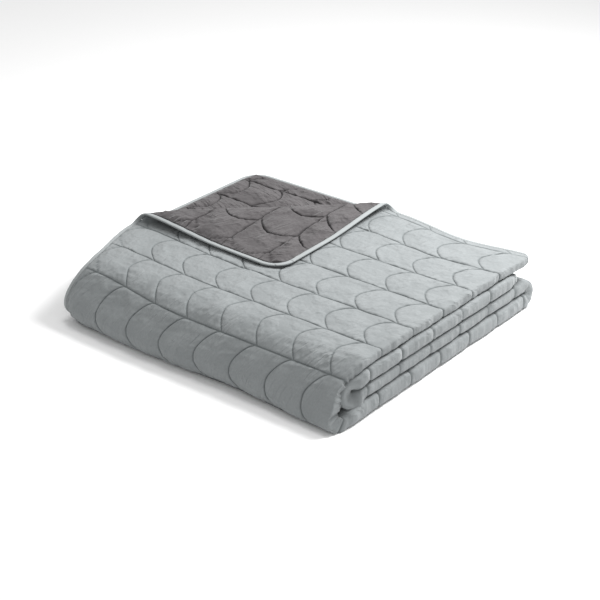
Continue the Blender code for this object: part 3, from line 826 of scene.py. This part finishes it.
REVERSE_FULLNESS = 2.5             # nothing presses on the turned corner
REVERSE_TURN_EASE = (0.02, 0.08)   # but it is stretched flat about the turning line
REVERSE_PUFF_WIDTH = 0.028
REVERSE_CREASING = 1.9
REVERSE_MOST_LEVEL = 2.8
REVERSE_SEED = 4.2


def reverse_level(u, v):
    """Height of the dark reverse: quilted where it shows, plain inside the folds."""
    straight, bowed = seam_distances(u, v, REVERSE_SEAMS)
    turn, ease = REVERSE_TURN_EASE
    fullness = 1.0 + (REVERSE_FULLNESS - 1.0) * smooth(np.abs(past_turn(u, v) - turn) / ease)
    puffed = rise_beside(straight, REVERSE_PUFF_WIDTH) * rise_beside(bowed, REVERSE_PUFF_WIDTH)
    quilted = SEAM_LEVEL + (fullness - SEAM_LEVEL) * puffed
    creased = REVERSE_CREASING * creases(u, v, REVERSE_SEAMS, REVERSE_SEED)
    quilted = quilted + creased / half_layer(v)
    shows = (v < MARKS["top"]) & (past_turn(u, v) > -0.03)
    level = np.minimum(np.where(shows, quilted, 1.0), REVERSE_MOST_LEVEL)
    level = np.where(np.abs(u) < SIDE_REACH * 1.01, INSIDE_LEVEL, level)
    return rim_press(u, v, level)


flap_u = HALF_WIDTH - FLAP_LEG - 0.05
reverse_columns = pattern_columns(-RIM_U + EDGE_BAND, -flap_u, SHOWN_SPACING)
reverse_columns += pattern_columns(flap_u, RIM_U - EDGE_BAND, SHOWN_SPACING)
reverse_columns = sorted(reverse_columns + PLAIN_COLUMNS + SIDE_COLUMNS[::2] + EDGE_COLUMNS)
reverse_rows = cut_rows([(0.0, FLAP_ROWS, SHOWN_SPACING)], REVERSE_SEAMS)


def reverse_outer_shows(u, v):
    """Where the reverse is seen: the turned corner, and the layer that it bares."""
    return (np.abs(u) > flap_u) & (v < FLAP_ROWS)


dark_reverse = sew_sheet("dark_reverse", reverse_columns, reverse_rows, REVERSE_SEAMS,
                         reverse_outer_shows, turned_inside, reverse_level, -MIDDLE, -1.0)
# The third colour is painted shade along the seams.
dark_reverse.data.materials.append(microfibre("dark_grey_brushed_microfibre",
                                              "#5B5859", "#494647", "#242122", 0.0110, 70))
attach(dark_reverse, "root")
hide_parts("reverse_panel")


# ------------------ the binding
# A bias strip of the light cloth, folded round all four edges of the spread and stitched
# through close to its inner edge.

BINDING_SQUARENESS = 3.2           # above 2 its section is squarer than round
BINDING_RING = 12                  # points round its section
BINDING_SPREAD = 0.7               # below 1 more of them are at its two edges
BINDING_STEP = 0.005
BINDING_PUCKER = (0.013, 0.22)     # how far apart the puckers are, and their share
BINDING_SEED = 8.8


def edge_route(inset, step):
    """Closed route at a distance in from the cut edge: u, v, and which way is out.

    Its places are closer together round the four corners.
    """
    radius = CORNER_RADIUS - inset
    side, tail = HALF_WIDTH - inset, FLAT_LENGTH - inset
    straight = HALF_WIDTH - CORNER_RADIUS
    near, far = CORNER_RADIUS, FLAT_LENGTH - CORNER_RADIUS
    rows = []

    def line(start, end, out):
        count = max(int(math.dist(start, end) / step), 1)
        for index in range(count):
            share = index / count
            rows.append((start[0] + (end[0] - start[0]) * share,
                         start[1] + (end[1] - start[1]) * share, *out))

    def corner(centre, first):
        count = max(int(radius * math.pi / 2 / step * 1.6), 6)
        for index in range(count):
            angle = first + math.pi / 2 * index / count
            out = (math.cos(angle), math.sin(angle))
            rows.append((centre[0] + radius * out[0], centre[1] + radius * out[1], *out))

    line((-straight, inset), (straight, inset), (0.0, -1.0))
    corner((straight, near), -math.pi / 2)
    line((side, near), (side, far), (1.0, 0.0))
    corner((straight, far), 0.0)
    line((straight, tail), (-straight, tail), (0.0, 1.0))
    corner((-straight, far), math.pi / 2)
    line((-side, far), (-side, near), (-1.0, 0.0))
    corner((-straight, near), math.pi)
    return np.array(rows)


def binding_section(out, level):
    """Height of the flat tube at a share of its half width."""
    return level * (1 - np.abs(out) ** BINDING_SQUARENESS) ** (1 / BINDING_SQUARENESS)


def make_binding():
    """A flat tube along the middle of the strip, laid in the folds with the cloth."""
    route = edge_route(BINDING_WIDTH / 2, BINDING_STEP)
    angles = np.linspace(0, 2 * math.pi, BINDING_RING, endpoint=False)
    out = np.sign(np.cos(angles)) * np.abs(np.cos(angles)) ** BINDING_SPREAD
    side = np.sign(np.round(np.sin(angles), 6))
    pitch, share = BINDING_PUCKER
    along = np.arange(len(route)) * BINDING_STEP
    puckers = 1 + share * wave(along / pitch, np.zeros(len(route)), BINDING_SEED)
    u = route[:, 0:1] + out[None, :] * route[:, 2:3] * BINDING_WIDTH / 2
    v = route[:, 1:2] + out[None, :] * route[:, 3:4] * BINDING_WIDTH / 2
    w = side[None, :] * binding_section(out, EDGE_LEVEL)[None, :] * puckers[:, None]
    ring = np.arange(BINDING_RING)
    here = np.arange(len(route))[:, None] * BINDING_RING
    ahead = (np.arange(1, len(route) + 1) % len(route))[:, None] * BINDING_RING
    beside = (ring + 1) % BINDING_RING
    faces = np.stack([here + ring, ahead + ring, ahead + beside, here + beside], axis=-1)
    flat = np.stack([np.repeat(along, BINDING_RING),
                     np.tile(ring * BINDING_WIDTH / 6, len(route))], axis=-1)
    points = fold(u.ravel(), v.ravel(), w.ravel())
    return finish_mesh("bias_binding", points, faces.reshape(-1, 4).tolist(), flat, FACE_SEAMS)


binding = make_binding()
# The third colour is painted shade along the seams.
binding.data.materials.append(microfibre("pale_grey_bias_strip",
                                         "#9CA0A1", "#959999", "#999D9E", 0.0010, 90))
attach(binding, "root")
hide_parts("binding")


# ------------------ the stitching
# Lockstitch in polyester thread: along every quilting seam that shows, on both cloths, and
# round the binding close to its inner edge.

STITCH_LENGTH = 0.0030
STITCH_PITCH = 0.0038
THREAD_RADIUS = 0.00035            # really 0.15 mm, drawn thicker so that it shows
THREAD_SIDES = 5
STITCH_DIP = 2.2                   # how far its ends go down into the cloth, in radii
STITCH_PROUD = 0.0001

bpy.ops.mesh.primitive_cylinder_add(vertices=THREAD_SIDES, radius=THREAD_RADIUS,
                                    depth=STITCH_LENGTH, rotation=(0.0, math.pi / 2, 0.0))
bpy.ops.object.transform_apply(location=False, rotation=True, scale=False)
bpy.ops.object.mode_set(mode="EDIT")
for cut in (-STITCH_LENGTH / 4, STITCH_LENGTH / 4):
    bpy.ops.mesh.select_all(action="SELECT")
    bpy.ops.mesh.bisect(plane_co=(cut, 0.0, 0.0), plane_no=(1.0, 0.0, 0.0))
bpy.ops.mesh.select_all(action="SELECT")
bpy.ops.mesh.quads_convert_to_tris()
bpy.ops.object.mode_set(mode="OBJECT")
one_stitch = bpy.context.object
for vert in one_stitch.data.vertices:
    vert.co.z -= THREAD_RADIUS * STITCH_DIP * (vert.co.x / STITCH_LENGTH * 2) ** 4
stitch_points = np.array([vert.co for vert in one_stitch.data.vertices])
stitch_faces = np.array([face.vertices for face in one_stitch.data.polygons])
bpy.data.objects.remove(one_stitch)


def along_path(u, v):
    """Start and end of each stitch along a line of the flat pattern."""
    length = np.concatenate([[0], np.cumsum(np.hypot(np.diff(u), np.diff(v)))])
    starts = np.arange(0, length[-1] - STITCH_LENGTH, STITCH_PITCH)
    ends = starts + STITCH_LENGTH
    return tuple(np.interp(at, length, values) for at in (starts, ends) for values in (u, v))


def sew(name, lines, level, side, proud, material_name, colour):
    """One thread: a stitch for each place along the lines, standing proud of the cloth."""
    placed = [along_path(np.asarray(u), np.asarray(v)) for u, v in lines]
    start_u, start_v, end_u, end_v = (np.concatenate(parts) for parts in zip(*placed))
    mid_u, mid_v = (start_u + end_u) / 2, (start_v + end_v) / 2
    w = side * (level(mid_u, mid_v) + proud / half_layer(mid_v))
    middle = fold(mid_u, mid_v, w)
    ahead = fold(end_u, end_v, w) - fold(start_u, start_v, w)
    length = np.linalg.norm(ahead, axis=1)
    ahead /= length[:, None]
    up = fold(mid_u, mid_v, w + side * 0.2) - middle
    up -= ahead * np.sum(up * ahead, axis=1)[:, None]
    up /= np.linalg.norm(up, axis=1)[:, None]
    across = np.cross(up, ahead)
    x, y, z = (stitch_points[None, :, axis:axis + 1] for axis in range(3))
    points = (middle[:, None, :] + x * ahead[:, None, :] * (length / STITCH_LENGTH)[:, None, None]
              + y * across[:, None, :] + z * up[:, None, :])
    faces = stitch_faces[None, :, :] + (np.arange(len(middle)) * len(stitch_points))[:, None, None]
    mesh = bpy.data.meshes.new(name)
    mesh.from_pydata(points.reshape(-1, 3), [], faces.reshape(-1, 3))
    mesh.shade_smooth()
    thread_piece = add_object(name, mesh)
    thread = new_material(material_name)
    fibres = add_node(thread, "ShaderNodeTexNoise", {"Scale": 1 / 0.0006, "Detail": 2.0},
                      {"Vector": add_node(thread, "ShaderNodeTexCoord").outputs["Object"]})
    twist = add_node(thread, "ShaderNodeBump", {"Strength": 0.3, "Distance": 0.0001},
                     {"Height": fibres.outputs["Fac"]})
    shader = add_node(thread, "ShaderNodeBsdfPrincipled",
                      {"Base Color": linear(colour), "Roughness": 0.55},
                      {"Normal": twist.outputs["Normal"]})
    add_node(thread, "ShaderNodeOutputMaterial", links={"Surface": shader.outputs["BSDF"]})
    mesh.materials.append(thread)
    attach(thread_piece, "root")
    return thread_piece


CELLS_EACH_SIDE = 8
BOW_POINTS = 160
FEWEST_POINTS = 5                  # of a line that is worth sewing


def seam_lines(seams, shows):
    """Lines of the flat pattern that carry quilting stitches, cut to where they show."""
    lines = []
    across = np.linspace(0, 1, BOW_POINTS)
    for index in range(-1, int(FLAT_LENGTH / ROW) + 1):
        row_v = seams[0] + index * ROW
        u = np.arange(-RIM_U, RIM_U, 0.001)
        lines.append((u, np.full(len(u), row_v)))
        for cell in range(-CELLS_EACH_SIDE, CELLS_EACH_SIDE + 1):
            bowed_u = cell * CELL - FIRST_CELL + seam_bow(across) * CELL
            lines.append((bowed_u, row_v - across * ROW))
    cut = []
    for u, v in lines:
        v = v - slipped(u, v, seams)
        keep = shows(u, v) & (np.abs(u) < RIM_U) & (v > RIM_V) & (v < FLAT_LENGTH - RIM_V)
        edges = np.flatnonzero(np.diff(np.concatenate([[0], keep.astype(int), [0]])))
        for first, last in zip(edges[::2], edges[1::2]):
            if last - first > FEWEST_POINTS:
                cut.append((u[first:last], v[first:last]))
    return cut


ON_SEAM = 0.0005                   # how close to a straight seam a line is on it
WELL_COVERED = 0.04                # how far inside the turned corner nothing is sewn


def face_shows(u, v):
    """Where stitches show on the light face."""
    straight, _ = seam_distances(u, v, FACE_SEAMS)
    covered = FLAP_COVER - WELL_COVERED
    on_top = (u < -SIDE_REACH) & (v < MARKS["outer"] - FRONT_HIDDEN) & (past_turn(u, v) < 0)
    on_top &= ~((v < covered) & (HALF_WIDTH + u < covered))
    on_side = (np.abs(u) < SIDE_REACH + 0.006) & (straight < ON_SEAM)
    on_back = (u < 0) & (np.abs(v - BACK_BAND_V) < BACK_BAND_WIDTH)
    return on_top | on_side | on_back


def reverse_shows(u, v):
    """Where stitches show on the dark reverse."""
    return (v < MARKS["top"]) & (past_turn(u, v) > -0.02)


# The face thread is darker than the cloth: partly its own grey, partly painted shade of the seam
# groove it lies in.
face_thread = sew("face_stitching", seam_lines(FACE_SEAMS, face_shows), face_level,
                  1.0, STITCH_PROUD, "grey_polyester_thread", "#6E7273")
reverse_thread = sew("reverse_stitching", seam_lines(REVERSE_SEAMS, reverse_shows), reverse_level,
                     -1.0, STITCH_PROUD, "dark_polyester_thread", "#7A7778")

STITCH_LINE = 0.65                 # from the middle of the binding, in half widths


def binding_level(u, _):
    """Height of the binding where it is stitched through."""
    return np.full(np.shape(u), binding_section(-STITCH_LINE, EDGE_LEVEL))


stitch_line = edge_route(BINDING_WIDTH * (1 + STITCH_LINE) / 2, 0.003)
edge_lines = [(stitch_line[:, 0], stitch_line[:, 1])]
binding_thread = sew("binding_stitching_outside", edge_lines, binding_level, 1.0, 0.0,
                     "binding_thread", "#717576")
binding_thread_inside = sew("binding_stitching_inside", edge_lines, binding_level, -1.0, 0.0,
                            "binding_thread_inside", "#717576")
